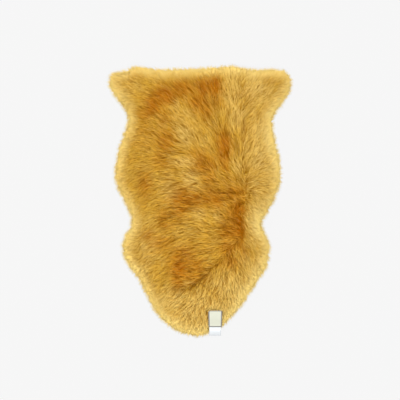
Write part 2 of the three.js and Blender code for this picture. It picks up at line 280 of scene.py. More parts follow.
# the sum of the tufts' ridges, each a bump that is longer along its heading
def tuftHeight(x, y):
    tx, ty, height, cx, cy = tufts
    forward = ((x[:, None] - tx) * cx + (y[:, None] - ty) * cy) / tuft["length"]
    aside = ((y[:, None] - ty) * cx - (x[:, None] - tx) * cy) / tuft["width"]
    return (height * np.exp(-(forward**2) - aside**2)).sum(1)


# how deep the partings cut each place: the deepest of them, each a smooth round groove
def troughs(places):
    return np.max([depth * nearLine(places, line, width) for depth, width, line in partings], 0)


# how far each place is from the label, measured past its sides and its upper end
def besideLabel(places):
    aside = np.abs(places[:, 0] - label["centre"]) - label["width"] / 2
    return np.maximum(aside, places[:, 1] - label["topEnd"])


# Top of the wool: the pile with its swell and tufts, less the troughs at the partings, and
# a quarter round from it down to the rim; the label presses the tufts flat. Short is how
# far short of the full pile each place is, from 1 at the rim to 0.
def woolTop(places, short, rimHeight, tuftShare, partingShare):
    free = smoothStep(besideLabel(places) - label["pressedFrom"], 0, label["pressed"])
    swell = skin["swellHeight"] * noiseAt(places, skin["swellSpacing"], skin["swellSeed"])
    lumps = swell + tuftShare * tuftHeight(places[:, 0], places[:, 1])
    top = skin["pileHeight"] + lumps * free - partingShare * troughs(places)
    return rimHeight + (top - rimHeight) * np.sqrt(1 - short**2)


# the top of the loose wool, from the tips at the rim
def pileTop(places, inset):
    reach = skin["slabInset"] + skin["pileShoulder"]
    short = 1 - np.clip((inset + skin["rimSoft"]) / (reach + skin["rimSoft"]), 0, 1)
    return woolTop(places, short, skin["rimHeight"], skin["tuftShare"], skin["partingShare"])


# the top of the solid wool, from the widest line of the slab
def solidTop(places):
    slabRim = (rimLine - rimOut * skin["slabInset"])[::4]
    gap = np.sqrt(((places[:, None, :] - slabRim[None]) ** 2).sum(2)).min(1)
    short = 1 - np.clip(gap / skin["pileShoulder"], 0, 1)
    return woolTop(places, short, skin["slabRimHeight"], 1, 1)


# How the wool lies

# Headings of the wool in degrees, 0 to the right and 90 towards the flat end, charted: for
# each station along the skin, the places across it and the heading there.
combing = {
    440: [(-310, 190), (-230, 165), (-140, 150), (-55, 140), (0, 130),
          (55, 97), (110, 75), (195, 50), (265, 40)],
    380: [(-300, 180), (-230, 145), (-175, 142), (-90, 145), (-20, 135),
          (40, 118), (105, 92), (195, 50), (290, 38)],
    300: [(-240, 195), (-195, 170), (-140, 140), (-70, 140), (0, 132),
          (55, 125), (110, 95), (140, 65), (230, 52)],
    190: [(-275, 230), (-220, 188), (-150, 145), (-55, 145), (0, 135),
          (55, 122), (115, 104), (165, 72), (245, 50)],
    90: [(-275, 230), (-140, 205), (-90, 180), (-20, 142), (90, 138),
         (130, 114), (175, 72), (205, 30), (245, 3)],
    10: [(-250, 230), (-170, 210), (-105, 205), (-35, 182),
         (55, 180), (120, 150), (180, -30), (225, -45)],
    -50: [(-240, 235), (-140, 198), (-60, 192), (0, 155),
          (90, 137), (130, 112), (175, -40), (205, -45)],
    -105: [(-255, 228), (-160, 205), (-70, 188), (20, 150),
           (70, 172), (125, 150), (175, -35), (220, -40)],
    -160: [(-255, 228), (-140, 212), (-70, 200), (0, 200),
           (55, 215), (100, 232), (160, -80), (230, -50)],
    -220: [(-230, 225), (-115, 216), (-82, 186), (-35, 180), (10, 188),
           (42, 196), (82, 258), (110, -72), (200, -52)],
    -265: [(-215, 228), (-118, 222), (-85, 184), (-45, 181), (-8, 184),
           (38, 238), (75, 260), (110, -78), (185, -62)],
    -295: [(-195, 235), (-115, 226), (-80, 190), (-48, 186), (-2, 238),
           (35, 250), (65, 262), (110, -82), (165, -72)],
    -380: [(-140, 230), (-35, 226), (0, 240), (55, 262), (140, -76)],
    -440: [(-90, 225), (0, 262), (40, 275)],
}
# the line that the wool falls away from on both sides, from the flat end round to the
# left flank: headings on one side of it don't carry over to the other
divide = [
    (140, 340), (150, 250), (149, 150), (159, 90), (168, 40), (160, 0), (156, -60), (153, -125),
    (100, -178), (60, -218), (33, -247), (10, -270), (-25, -295), (-62, -306), (-94, -298),
    (-102, -255), (-99, -215),
]
# places where the wool is ruffled: across and along, reach across and along, turn, strength
ruffles = [
    (122, -60, 42, 84, 0, 1.2), (100, 25, 44, 22, 0, 0.7), (-60, -235, 44, 34, 0, 0.6),
    (20, 110, 26, 50, 0, 0.5), (82, 185, 20, 55, 0, 0.5), (95, -170, 26, 50, 0, 0.7),
]


patchFlat = 1.3  # above 1 a patch is flatter in its middle and ends faster


# the strongest of the patches at each place, each fading from its middle
def patchStrength(places, patches):
    found = np.zeros(len(places))
    for x, y, across, along, turn, strength in patches:
        c, s = math.cos(math.radians(turn)), math.sin(math.radians(turn))
        dx, dy = places[:, 0] - x, places[:, 1] - y
        far = ((dx * c + dy * s) / across) ** 2 + ((dy * c - dx * s) / along) ** 2
        found = np.maximum(found, strength * np.exp(-(far**patchFlat)))
    return found


# True where the straight way between a place and a charted heading crosses one of the
# line's stretches: the ends of each lie on both sides of the other.
def crosses(places, rows, line):
    hit = np.zeros((len(places), len(rows)), bool)
    p, q = places[:, None, :], rows[None, :, :]
    for a, b in stretches(line):
        hit |= (sideOf(a, b, p) * sideOf(a, b, q) < 0) & (sideOf(p, q, a) * sideOf(p, q, b) < 0)
    return hit


# above 0 where c lies to the left of the way from a to b
def sideOf(a, b, c):
    ahead, away = b - a, c - a
    return ahead[..., 0] * away[..., 1] - ahead[..., 1] * away[..., 0]


# arrows on a grid, each turned towards the mean of its neighbours a number of times
def evened(grid, times):
    for _ in range(times):
        wide = np.pad(grid, ((1, 1), (1, 1), (0, 0)), mode="edge")
        grid = unit(wide[:-2, 1:-1] + wide[2:, 1:-1] + wide[1:-1, :-2] + wide[1:-1, 2:] + grid)
    return grid


# The fleece worked out once on a square grid of places: how far inside the rim each lies,
# the height of the wool there and the way that it lies. The lie is the charted headings as
# arrows, averaged with weights that fall with distance and hardly reach across the divide,
# which is taken a little ragged. Then it is turned outward near the rim, evened, and bent
# to and fro by two waves of noise, and by a third where the wool is ruffled.
def chartFleece():
    xs = np.arange(-chart["across"], chart["across"] + 1, chart["step"])
    ys = np.arange(-chart["along"], chart["along"] + 1, chart["step"])
    places = np.stack(np.meshgrid(xs, ys, indexing="xy"), -1).reshape(-1, 2).astype(float)
    inset, outward = insetOf(places)
    rows = np.array([(x, y) for y, row in combing.items() for x, heading in row], float)
    headings = np.radians([heading for row in combing.values() for x, heading in row])
    gap = ((places[:, None, :] - rows[None]) ** 2).sum(2)
    weight = np.exp(-gap / (2 * chart["reach"] ** 2)) + 1e-9 / (1 + gap)
    wander, size, *seeds = chart["ragged"]
    ragged = places + wander * np.stack([noiseAt(places, size, seed) for seed in seeds], 1)
    weight *= np.where(crosses(ragged, rows, divide), chart["acrossDivide"], 1)
    arrows = unit(weight @ np.stack([np.cos(headings), np.sin(headings)], 1))
    atRim = chart["outward"] * smoothStep(-inset, *chart["outwardFrom"])
    arrows = unit(arrows + atRim[:, None] * outward)
    arrows = evened(arrows.reshape(len(ys), len(xs), 2), chart["evened"]).reshape(-1, 2)
    for angle, size, seed in chart["waves"]:
        arrows = turned(arrows, math.radians(angle) * noiseAt(places, size, seed))
    angle, size, seed = chart["ruffled"]
    bend = math.radians(angle) * noiseAt(places, size, seed)
    arrows = turned(arrows, bend * patchStrength(places, ruffles))
    table = np.column_stack([inset, pileTop(places, inset), arrows])
    return table.reshape(len(ys), len(xs), 4)


fleeceChart = chartFleece()


# Reads columns of the chart at any places: the four grid places round each, weighed by how
# near they are. Places past the chart read its edge.
def readChart(places, columns):
    step = chart["step"]
    rows, across = fleeceChart.shape[:2]
    fx = np.clip((places[..., 0] + chart["across"]) / step, 0, across - 1.001)
    fy = np.clip((places[..., 1] + chart["along"]) / step, 0, rows - 1.001)
    i, j = fx.astype(int), fy.astype(int)
    u, v = (fx - i)[..., None], (fy - j)[..., None]
    table = fleeceChart[..., columns]
    low = table[j, i] * (1 - u) + table[j, i + 1] * u
    high = table[j + 1, i] * (1 - u) + table[j + 1, i + 1] * u
    return low * (1 - v) + high * v


# how far inside the rim each place lies
def insetAt(places):
    return readChart(places, [0])[..., 0]


# the height of the wool there
def topAt(places):
    return readChart(places, [1])[..., 0]


# the way that it lies there, as an arrow of unit length
def lieAt(places):
    return unit(readChart(places, [2, 3]))


# Streaks along the lie: the mean of fine noise over steps forward and back along the lie
# from each place, so that it is even along the wool and changes fast across it.
def streakAt(places):
    total = noiseAt(places, streak["width"], streak["seed"])
    for way in (1, -1):
        spot = places
        for _ in range(streak["steps"]):
            spot = spot + way * streak["stride"] * lieAt(spot)
            total = total + noiseAt(spot, streak["width"], streak["seed"])
    return np.tanh(total / streak["spread"])


print("wool combed")


# Mesh helpers

# faces is a list of arrays, one row of corners for each face
def makePiece(name, points, faces, material, uv=None, values=None):
    mesh = bpy.data.meshes.new(name)
    corners = np.concatenate([f.ravel() for f in faces]).astype(np.int32)
    sizes = np.concatenate([np.full(len(f), f.shape[1]) for f in faces]).astype(np.int32)
    starts = np.concatenate([[0], np.cumsum(sizes)[:-1]]).astype(np.int32)
    mesh.vertices.add(len(points))
    mesh.vertices.foreach_set("co", np.asarray(points, np.float32).ravel())
    mesh.loops.add(len(corners))
    mesh.loops.foreach_set("vertex_index", corners)
    mesh.polygons.add(len(sizes))
    mesh.polygons.foreach_set("loop_start", starts)
    mesh.polygons.foreach_set("use_smooth", np.ones(len(sizes), bool))
    mesh.update(calc_edges=True)
    if uv is not None:
        layer = mesh.uv_layers.new(name="UVMap")
        layer.data.foreach_set("uv", uv[corners].astype(np.float32).ravel())
    for key, value in (values or {}).items():
        mesh.attributes.new(key, "FLOAT", "POINT").data.foreach_set("value", value.astype(np.float32))
    piece = bpy.data.objects.new(name, mesh)
    bpy.context.scene.collection.objects.link(piece)
    mesh.materials.append(material)
    print(f"{name}: {int((sizes - 2).sum())} triangles")
    return piece


# the quads of a grid of rows and columns, closed round the columns where asked
def gridFaces(rows, columns, closed):
    i = np.arange(rows - 1)[:, None] * columns
    j = np.arange(columns if closed else columns - 1)[None, :]
    k = (j + 1) % columns
    return np.stack([i + j, i + k, i + columns + k, i + columns + j], -1).reshape(-1, 4)


# the fans that close a grid's first and last rows at two points that come after its own
def endFans(rows, around):
    j = np.arange(around)
    k = (j + 1) % around
    last = (rows - 1) * around
    first = np.stack([k, j, np.full(around, rows * around)], 1)
    return first, np.stack([last + j, last + k, np.full(around, rows * around + 1)], 1)


# Materials

def newMaterial(name):
    material = bpy.data.materials.new(name)
    material.use_nodes = True
    return material, material.node_tree, material.node_tree.nodes["Principled BSDF"]


# fills a node's sockets: another node's output is linked, anything else is a constant
def fill(tree, node, sockets):
    for key, value in sockets.items():
        if isinstance(value, bpy.types.NodeSocket):
            tree.links.new(value, node.inputs[key])
        else:
            node.inputs[key].default_value = value


# a new node with its settings made and its sockets filled; gives its outputs
def addNode(tree, kind, sockets=None, **settings):
    node = tree.nodes.new("ShaderNode" + kind)
    for key, value in settings.items():
        setattr(node, key, value)
    fill(tree, node, sockets or {})
    return node.outputs


# one colour turned to another by a factor: sockets 6 and 7 are the node's colours
def mixColour(tree, factor, first, second):
    return addNode(tree, "Mix", {0: factor, 6: first, 7: second}, data_type="RGBA")[2]


# a colour made lighter or darker by a factor
def scaled(tree, colour, factor):
    return addNode(tree, "VectorMath", {0: colour, "Scale": factor}, operation="SCALE")[0]


# a value that the mesh carries at its points
def attributeValue(tree, name):
    return addNode(tree, "Attribute", attribute_name=name)["Fac"]


# a node group with sockets of these kinds, what goes in and the node that takes its results
def newGroup(name, given, results):
    group = bpy.data.node_groups.new(name, "ShaderNodeTree")
    for side, sockets in (("INPUT", given), ("OUTPUT", results)):
        for key, kind in sockets.items():
            group.interface.new_socket(key, in_out=side, socket_type="NodeSocket" + kind)
    inside, outside = group.nodes.new("NodeGroupInput"), group.nodes.new("NodeGroupOutput")
    return group, inside.outputs, outside


woolLook = {
    "honey": (0.79, 0.46, 0.046, 1),   # most of the wool
    "straw": (0.98, 0.75, 0.25, 1),    # pale tips and patches, and the painted glow at the rim
    "rust": (0.52, 0.143, 0.0, 1),     # the orange-brown patches
    "root": (0.40, 0.155, 0.003, 1),   # deep between the locks: the roots' own colour with painted shade of the deep wool
    "roughness": 0.85, "specular": 0.01,
    "rootShare": 0.6,       # how far along a strand it has its full colour, before that the root's colour and painted shade
    "darkest": 0.72,        # what its own brightness multiplies that by, at 0
    "lightest": 1.12,       # and at 1
    "fibreScale": 700.0, "fibreDetail": 2.0, "fibreShade": 0.8,
    "fibreDepth": 0.0004, "fibreBump": 0.5,
}
toneValues = ("Dye", "Pale", "Along", "Strand")
toneColours = ("Honey", "Straw", "Rust", "Root")


# The tone of dyed wool: honey, turned to rust by the dye patches and by painted shade in
# grooves and creases, and to straw by the pale ones and the painted glow at the rim; darker
# towards the root with its own colour and painted shade, and uneven from strand to strand.
def woolToneGroup():
    sockets = {key: "Float" for key in toneValues} | {key: "Color" for key in toneColours}
    tree, given, result = newGroup("woolTone", sockets, {"Colour": "Color"})
    tone = mixColour(tree, given["Dye"], given["Honey"], given["Rust"])
    tone = mixColour(tree, given["Pale"], tone, given["Straw"])
    grown = addNode(
        tree, "MapRange", {"From Max": woolLook["rootShare"], "Value": given["Along"]},
        interpolation_type="SMOOTHSTEP",
    )
    tone = mixColour(tree, grown["Result"], given["Root"], tone)
    bright = addNode(
        tree, "MapRange",
        {"To Min": woolLook["darkest"], "To Max": woolLook["lightest"], "Value": given["Strand"]},
        clamp=False,
    )
    tone = scaled(tree, tone, bright["Result"])
    tone = addNode(tree, "VectorMath", {0: tone, 1: (1, 1, 1)}, operation="MINIMUM")[0]
    fill(tree, result, {"Colour": tone})
    return tree


cloth = {
    "edgeThin": 0.45, "waveAcross": 1.7, "waveAlong": 14, "seed": 91, "lowest": 0.1,
    "speckScale": 60.0, "weaveDepth": 0.0002, "weaveBump": 0.6,
}


# Plain weave: two sets of threads crossing, as a height from 0 to 1 on the UV map.
def weaveGroup():
    tree, given, result = newGroup(
        "plainWeave", {"Across": "Float", "Along": "Float"}, {"Height": "Float", "Shade": "Float"},
    )
    place = addNode(tree, "TexCoord")["UV"]
    split = addNode(tree, "SeparateXYZ", {0: place})
    threads = []
    for way, key in enumerate(("Across", "Along")):
        turns = addNode(tree, "Math", {0: split[way], 1: given[key]}, operation="MULTIPLY")[0]
        threads.append(addNode(tree, "Math", {0: turns}, operation="SINE")[0])
    crossed = addNode(tree, "Math", dict(enumerate(threads)), operation="MULTIPLY")[0]
    height = addNode(tree, "Math", {0: crossed, 1: 0.5, 2: 0.5}, operation="MULTIPLY_ADD")[0]
    speck = addNode(tree, "TexNoise", {"Scale": cloth["speckScale"], "Vector": place})
    fill(tree, result, {"Height": height, "Shade": speck["Fac"]})
    return tree


woolTone = woolToneGroup()
plainWeave = weaveGroup()


def woolMaterial(name):
    material, tree, shader = newMaterial(name)
    # the dye, pale, along and strand values carry painted light and shade as well as the wool's own tone
    sockets = {key: attributeValue(tree, key.lower()) for key in toneValues}
    sockets |= {key: woolLook[key.lower()] for key in toneColours}
    tone = addNode(tree, "Group", sockets, node_tree=woolTone)[0]
    fibre = addNode(tree, "TexNoise", {
        "Scale": woolLook["fibreScale"], "Detail": woolLook["fibreDetail"],
        "Vector": addNode(tree, "TexCoord")["Object"],
    })["Fac"]
    bump = addNode(tree, "Bump", {
        "Distance": woolLook["fibreDepth"], "Strength": woolLook["fibreBump"], "Height": fibre,
    })
    darker = scaled(tree, tone, woolLook["fibreShade"])
    fill(tree, shader, {
        "Base Color": mixColour(tree, fibre, darker, tone), "Normal": bump[0],
        "Roughness": woolLook["roughness"], "Specular IOR Level": woolLook["specular"],
    })
    return material


dyedWool = woolMaterial("dyedWool")


# Where the dye took darker or paler

# places across and along, reach across and along, turn in degrees and strength
dyePatches = [
    (52, 402, 28, 48, 0, 1.0), (26, 398, 54, 42, 0, 0.92), (-3, 348, 38, 38, 0, 0.86),
    (62, 352, 22, 34, 0, 0.45), (16, 318, 34, 34, 0, 0.65), (-62, 388, 54, 38, 0, 0.86),
    (-125, 366, 48, 40, 20, 0.93), (-160, 336, 42, 40, 40, 0.88), (-185, 310, 46, 28, 10, 0.62),
    (-125, 290, 26, 48, 0, 0.45), (-180, 250, 76, 92, 0, 0.22), (-118, 212, 34, 50, 0, 0.7),
    (-140, 150, 30, 46, 0, 0.44), (82, 188, 28, 64, 0, 1.0), (88, 140, 18, 40, 0, 0.66),
    (18, 128, 46, 50, 0, 0.7), (32, 88, 30, 42, 0, 0.56), (0, 166, 40, 24, 0, 0.45),
    (148, 262, 18, 34, 0, 0.2), (-190, 50, 24, 48, 0, 0.62), (-68, 10, 50, 48, 0, 0.7),
    (-20, 5, 66, 38, 0, 0.68), (52, 14, 68, 44, 0, 0.78), (118, 20, 50, 48, 0, 0.62),
    (90, 62, 72, 34, 0, 0.38), (-80, -28, 42, 42, 0, 0.6), (-118, -65, 32, 48, 0, 0.52),
    (132, -30, 32, 42, 0, 0.88), (135, -72, 30, 46, 0, 0.9), (142, -112, 32, 34, 0, 0.96),
    (108, -105, 46, 44, 0, 0.85), (110, -50, 30, 52, 0, 0.72), (138, -152, 24, 28, 0, 0.72),
    (95, -160, 30, 50, 0, 0.68), (152, -165, 22, 56, 0, 0.5), (108, -215, 44, 30, 0, 0.52),
    (-68, -232, 36, 52, 0, 1.0), (-62, -200, 50, 48, 0, 0.8), (-22, -226, 52, 42, 0, 0.68),
    (-76, -272, 26, 38, 0, 0.85), (-40, -258, 38, 32, 0, 0.72), (-84, -300, 24, 26, 0, 0.42),
    (-178, -120, 34, 26, 0, 0.6), (-130, -150, 52, 34, 0, 0.5), (20, -160, 72, 62, 0, 0.16),
    (-10, -262, 44, 22, 0, 0.3), (240, 422, 28, 20, 0, 0.25), (-262, 438, 54, 14, 10, 0.3),
    (215, 290, 30, 38, 0, 0.16),
]
palePatches = [
    (-50, 285, 48, 34, 0, 0.3), (-85, 322, 20, 38, 0, 0.34), (-50, 235, 44, 46, 0, 0.5),
    (10, 205, 32, 32, 0, 0.2), (-55, 138, 42, 22, 0, 0.55), (-32, 80, 38, 38, 0, 0.65),
    (-108, 40, 36, 54, 0, 0.48), (0, -46, 36, 26, 0, 0.36), (62, -52, 32, 24, 0, 0.25),
    (-60, -120, 62, 40, 0, 0.15), (118, 380, 40, 74, 0, 0.5), (205, 385, 68, 60, 0, 0.55),
    (132, 292, 36, 48, 0, 0.55), (130, 125, 28, 26, 0, 0.35), (215, 190, 58, 140, 0, 0.6),
    (68, -290, 46, 34, 0, 0.45), (5, -322, 46, 20, 0, 0.3), (-38, -288, 22, 11, 0, 0.55),
    (0, -390, 130, 80, 0, 0.7), (128, -176, 16, 14, 0, 0.3), (192, -70, 34, 120, 0, 0.6),
    (200, 50, 40, 70, 0, 0.45), (-200, -170, 60, 90, 0, 0.35), (110, -310, 80, 70, 0, 0.65),
    (180, -235, 52, 60, 0, 0.5), (-262, 405, 60, 46, 0, 0.3), (-90, -345, 60, 50, 0, 0.6),
    (156, 205, 9, 20, 0, 0.6),
]
# right of this line the dye stops short: places along the skin, and across
dyeStops = [(-150, 153), (-125, 157), (-60, 157), (0, 160), (40, 172), (100, 175)]


# Creases between locks, darkened by painted shade: strength, width and the points along each.
# The strength is how dark that painted shade is, and the share of the strands meeting it
# that end there.
creases = [
    (0.9, 4, [(80, 24), (102, 27), (112, 25), (134, 22), (148, 21), (162, 27), (170, 32)]),
    (0.6, 4, [(42, 32), (60, 30), (78, 25)]),
    (1.0, 4, [(173, 46), (172, 30), (168, 18), (162, 4), (156, -6)]),
    (0.7, 4, [(156, -6), (147, -13), (126, -27), (112, -36)]),
    (0.7, 4, [(146, -60), (147, -84), (151, -98), (149, -120)]),
    (0.5, 4, [(129, -28), (131, -46), (128, -66)]),
    (0.5, 4, [(108, -44), (104, -70)]),
    (0.5, 4, [(142, -140), (122, -150)]),
    (0.4, 4, [(-30, 142), (-14, 110), (-8, 84)]),
    (0.8, 4, [(-8, 62), (-15, 46)]),
    (0.7, 4, [(150, 282), (151, 240), (147, 215)]),
    (0.6, 4, [(151, 158), (151, 138)]),
    (0.6, 4, [(160, 100), (162, 70)]),
    (0.85, 5, [(-66, -309), (-50, -303), (-38, -306), (-22, -295), (-8, -286), (10, -270), (33, -246)]),
    (0.6, 5, [(33, -246), (52, -226), (74, -208), (98, -182)]),
    (0.5, 5, [(-86, -300), (-74, -286)]),
    (0.75, 6, [(-302, 435), (-285, 437), (-262, 442), (-240, 450)]),
    (0.45, 5, [(-205, 98), (-196, 84), (-190, 60), (-192, 40)]),
]
creaseBreaks = {"steady": 0.7, "broken": 0.5, "size": 9, "seed": 55}


# how near each place is to a crease, the strength of the creases' painted shade there, broken up along
# them by noise
def creaseAt(places):
    found = np.zeros(len(places))
    for strength, width, line in creases:
        found = np.maximum(found, strength * nearLine(places, line, width))
    breaks = noiseAt(places, creaseBreaks["size"], creaseBreaks["seed"])
    return found * (creaseBreaks["steady"] + creaseBreaks["broken"] * breaks).clip(0, 1)


toning = {
    "dyeUneven": [(0.1, 34, 51), (0.08, 14, 52)],  # strength, size and seed
    "paleUneven": (0.1, 26, 53),
    "rim": (-56, 0),         # where the rim takes its painted glow, paler and less dyed
    "rimGlowPale": 0.85, "rimGlowUndyed": 0.85,
    "patchPale": 0.78,
    "dyedOver": 0.8,         # how much of the paleness the dye hides
    "stopSoft": (-4, 5),     # how sharply the dye stops at its line
    "stopLow": (-190, -130), "stopHigh": (-110, -40),  # where along the skin it does so
    "stopUndyed": 0.75,
}


# How much of the dye and of the paleness each place has, both from 0 to 1: the patches made
# uneven by noise, with little dye and much paleness at the rim as a painted glow of light
# through the thin wool, and little dye past its line.
def toneAt(places):
    x, y = places[:, 0], places[:, 1]
    rim = smoothStep(-insetAt(places), *toning["rim"])
    dye = patchStrength(places, dyePatches)
    for strength, size, seed in toning["dyeUneven"]:
        dye = dye + strength * noiseAt(places, size, seed)
    stations, stops = np.array(dyeStops, float).T
    beyond = smoothStep(x - np.interp(y, stations, stops), *toning["stopSoft"])
    beyond = beyond * smoothStep(y, *toning["stopLow"]) * smoothStep(-y, *toning["stopHigh"])
    # painted glow at the rim: less dye there, and more paleness below
    dye = dye * (1 - toning["rimGlowUndyed"] * rim) * (1 - toning["stopUndyed"] * beyond)
    dye = np.clip(dye, 0, 1)
    strength, size, seed = toning["paleUneven"]
    pale = toning["patchPale"] * patchStrength(places, palePatches) + toning["rimGlowPale"] * rim
    pale = pale + strength * noiseAt(places, size, seed)
    return dye, np.clip(pale * (1 - toning["dyedOver"] * dye), 0, 1)


# The deep wool: a closed body a little below the tips, which the strands grow from

fleece = {
    "around": 420,
    "depth": 9,         # below the tips of the wool
    "rimInset": 15,
    "side": [(33, 2.8), (24, 3.6), (17.5, 6.5), (15, 11)],  # inset and height, up the side
    "rings": 52,
    "ringsEven": 0.35,  # the share of their spacing that is even, the rest closer at the rim
    "ringsDrawn": 1.6,
    "lowest": 14,
    "paleShare": 0.5, "bright": 0.5, "streakLightShade": 0.3, "creasedShade": 0.7,
    "rootShade": 0.58,  # how far from the root colour, a painted shade on the deep wool, less in the creases
}


# Rings round the rim from the hide's edge up the side, then drawn in to one middle point
# with the height taken from the top of the wool.
def fleeceSurface():
    share = np.arange(fleece["around"]) / fleece["around"]
    rings = []
    for inset, height in fleece["side"]:
        flat = rimAt(share, inset)
        rings.append(np.column_stack([flat, np.full(len(share), float(height))]))
    edge = rimAt(share, fleece["rimInset"])
    steps = np.linspace(0, 1, fleece["rings"] + 1)[1:-1]
    even = fleece["ringsEven"]
    for t in even * steps + (1 - even) * steps ** fleece["ringsDrawn"]:
        flat = edge * (1 - t) + heart * t
        rings.append(np.column_stack([flat, np.maximum(topAt(flat) - fleece["depth"], fleece["lowest"])]))
    points = np.concatenate(rings)
    poles = np.array([[*heart, fleece["side"][0][1]], [*heart, topAt(heart) - fleece["depth"]]])
    quads = gridFaces(len(rings), fleece["around"], True)
    return np.vstack([points, poles]), [quads, *endFans(len(rings), fleece["around"])]


fleecePoints, fleeceFaces = fleeceSurface()
fleeceDye, fleecePale = toneAt(fleecePoints[:, :2])
fleeceCrease = creaseAt(fleecePoints[:, :2])
# the deep wool's tone: painted light along the streaks' ridges, painted shade in their grooves and in the
# creases, and the root's colour, partly painted shade, for its depth
fleecePiece = makePiece(
    "fleece", placed(fleecePoints), fleeceFaces, dyedWool,
    values={
        "dye": fleeceDye,
        "pale": fleece["paleShare"] * fleecePale,
        "strand": fleece["bright"] + fleece["streakLightShade"] * streakAt(fleecePoints[:, :2])
        - fleece["creasedShade"] * fleeceCrease,
        "along": fleece["rootShade"] * (1 - fleeceCrease).clip(0),
    },
)
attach(fleecePiece, "root")
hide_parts("sheepskin")


# The label: a white ribbon from under the hide, round the rim and back over the wool

ribbonLook = {"colour": (0.57, 0.595, 0.61, 1), "darkest": 0.91, "thread": 0.55, "roughness": 0.5}
panelLook = {
    "cream": (0.436, 0.441, 0.356, 1), "border": (0.155, 0.149, 0.134, 1),
    "borderWidth": 4.4, "borderSoft": 0.4,
    "darkest": 0.89, "thread": 0.6, "roughness": 0.7,
}


# The ribbon's middle line as places along the skin and heights: flat under the hide, up
# round the turn, then a little above the highest wool across its width.
def ribbonPath(count):
    low = label["floorGap"] + label["thickness"] / 2
    tab = [(label["tabStart"] + t * (label["tabEnd"] - label["tabStart"]), low) for t in (0, 0.6, 1)]
    turn = [(label["turn"] + back, low + up) for back, up in label["turnPoints"]]
    top = []
    for t in (0, 0.3, 0.65, 1):
        y = label["topStart"] + t * (label["topEnd"] - label["topStart"])
        across = label["centre"] + np.linspace(-0.5, 0.5, 5) * (label["width"] + label["clearWidth"])
        highest = solidTop(np.stack([across, np.full(5, y)], 1)).max()
        top.append((y, highest + label["clearance"] + label["thickness"] / 2))
    return curveThrough(tab + turn + top, count, False)


ribbonLine = ribbonPath(160)
overWool = ribbonLine[60:]  # from past its turn
overWool = overWool[overWool[:, 1] > label["turnPoints"][-1][1]]


# height of the ribbon's middle line over the wool
def ribbonHeight(y):
    return np.interp(y, overWool[:, 0], overWool[:, 1])


# A strip of cloth: its section is a flat loop, over the top from edge to edge and back
# underneath, thinner at the edges, carried along a path of places and heights. The cloth
# waves by a small noise. UV is in millimetres, and border is the way to the nearest edge.
def stripOfCloth(name, path, widths, thickness, across, wave, material):
    along = unit(np.gradient(path, axis=0))
    normal = np.stack([-along[:, 1], along[:, 0]], 1)
    far = wayAlong(path)
    side = np.linspace(-1, 1, across)
    side = np.concatenate([side, side[::-1]])
    face = np.concatenate([np.ones(across), -np.ones(across)])
    body = thickness / 2 * face * (1 - cloth["edgeThin"] * np.abs(side) ** 8)
    x = side[None] * widths[:, None] / 2
    acrossWave = side[None] * cloth["waveAcross"] + 0 * x
    alongWave = far[:, None] / cloth["waveAlong"] + 0 * x
    lift = body[None] + wave * noise(acrossWave, alongWave, cloth["seed"])
    y = path[:, :1] + lift * normal[:, :1]
    z = path[:, 1:] + lift * normal[:, 1:]
    points = np.stack([label["centre"] + x, y, np.maximum(z, cloth["lowest"])], -1).reshape(-1, 3)
    rows, columns = len(path), 2 * across
    i = np.arange(across - 1)
    startCap = np.stack([i, columns - 1 - i, columns - 2 - i, i + 1], 1)
    endCap = (rows - 1) * columns + np.stack([i, i + 1, columns - 2 - i, columns - 1 - i], 1)
    fromSide = (1 - np.abs(side[None])) * widths[:, None] / 2
    fromEnd = np.minimum(far, far[-1] - far)[:, None]
    piece = makePiece(
        name, placed(points), [gridFaces(rows, columns, True), startCap, endCap], material,
        uv=np.stack([x, far[:, None] + 0 * x], -1).reshape(-1, 2),
        values={"border": np.minimum(fromSide, fromEnd).ravel()},
    )
    return piece, far[-1]


# woven cloth in one colour, darker in a band along its edges where it has one
def clothMaterial(name, look, mainColour, borderColour):
    material, tree, shader = newMaterial(name)
    turns = 2 * math.pi / look["thread"]
    weave = addNode(tree, "Group", {"Across": turns, "Along": turns}, node_tree=plainWeave)
    colour = mainColour[:3]
    if borderColour:
        edge = addNode(tree, "MapRange", {
            "From Min": look["borderWidth"] - look["borderSoft"], "From Max": look["borderWidth"],
            "Value": attributeValue(tree, "border"),
        })
        colour = mixColour(tree, edge["Result"], borderColour, mainColour)
    shade = addNode(tree, "MapRange", {
        "To Min": look["darkest"], "To Max": 1.0, "Value": weave["Shade"],
    })
    bump = addNode(tree, "Bump", {
        "Distance": cloth["weaveDepth"], "Strength": cloth["weaveBump"], "Height": weave["Height"],
    })
    fill(tree, shader, {
        "Base Color": scaled(tree, colour, shade["Result"]), "Normal": bump[0],
        "Roughness": look["roughness"],
    })
    return material


ribbonCloth = clothMaterial("ribbonSatin", ribbonLook, ribbonLook["colour"], None)
panelCloth = clothMaterial("panelWeave", panelLook, panelLook["cream"], panelLook["border"])
ribbon, ribbonLength = stripOfCloth(
    "ribbonLabel", ribbonLine, np.full(len(ribbonLine), float(label["width"])),
    thickness=0.8, across=9, wave=0.35, material=ribbonCloth,
)
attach(ribbon, "root")
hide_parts("edge_label")

panelRows = 34
panelY = np.linspace(panel["low"], panel["high"], panelRows)
panelRise = (label["thickness"] + panel["thickness"]) / 2 + panel["gap"]
panelLine = np.stack([panelY, ribbonHeight(panelY) + panelRise], 1)
panelWidths = np.linspace(panel["lowWidth"], panel["highWidth"], panelRows)
panelPiece, panelLength = stripOfCloth(
    "creamPanel", panelLine, panelWidths,
    thickness=0.9, across=25, wave=0.3, material=panelCloth,
)
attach(panelPiece, "root")
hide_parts("label_patch")

stitch = {
    "inset": 1.8, "pitch": 3.3, "length": 2.3, "thick": 0.5, "lift": 0.5,
    "dark": (0.15, 0.14, 0.13, 1), "light": (0.30, 0.28, 0.26, 1),
    "twistScale": 2500.0, "roughness": 0.6,
}


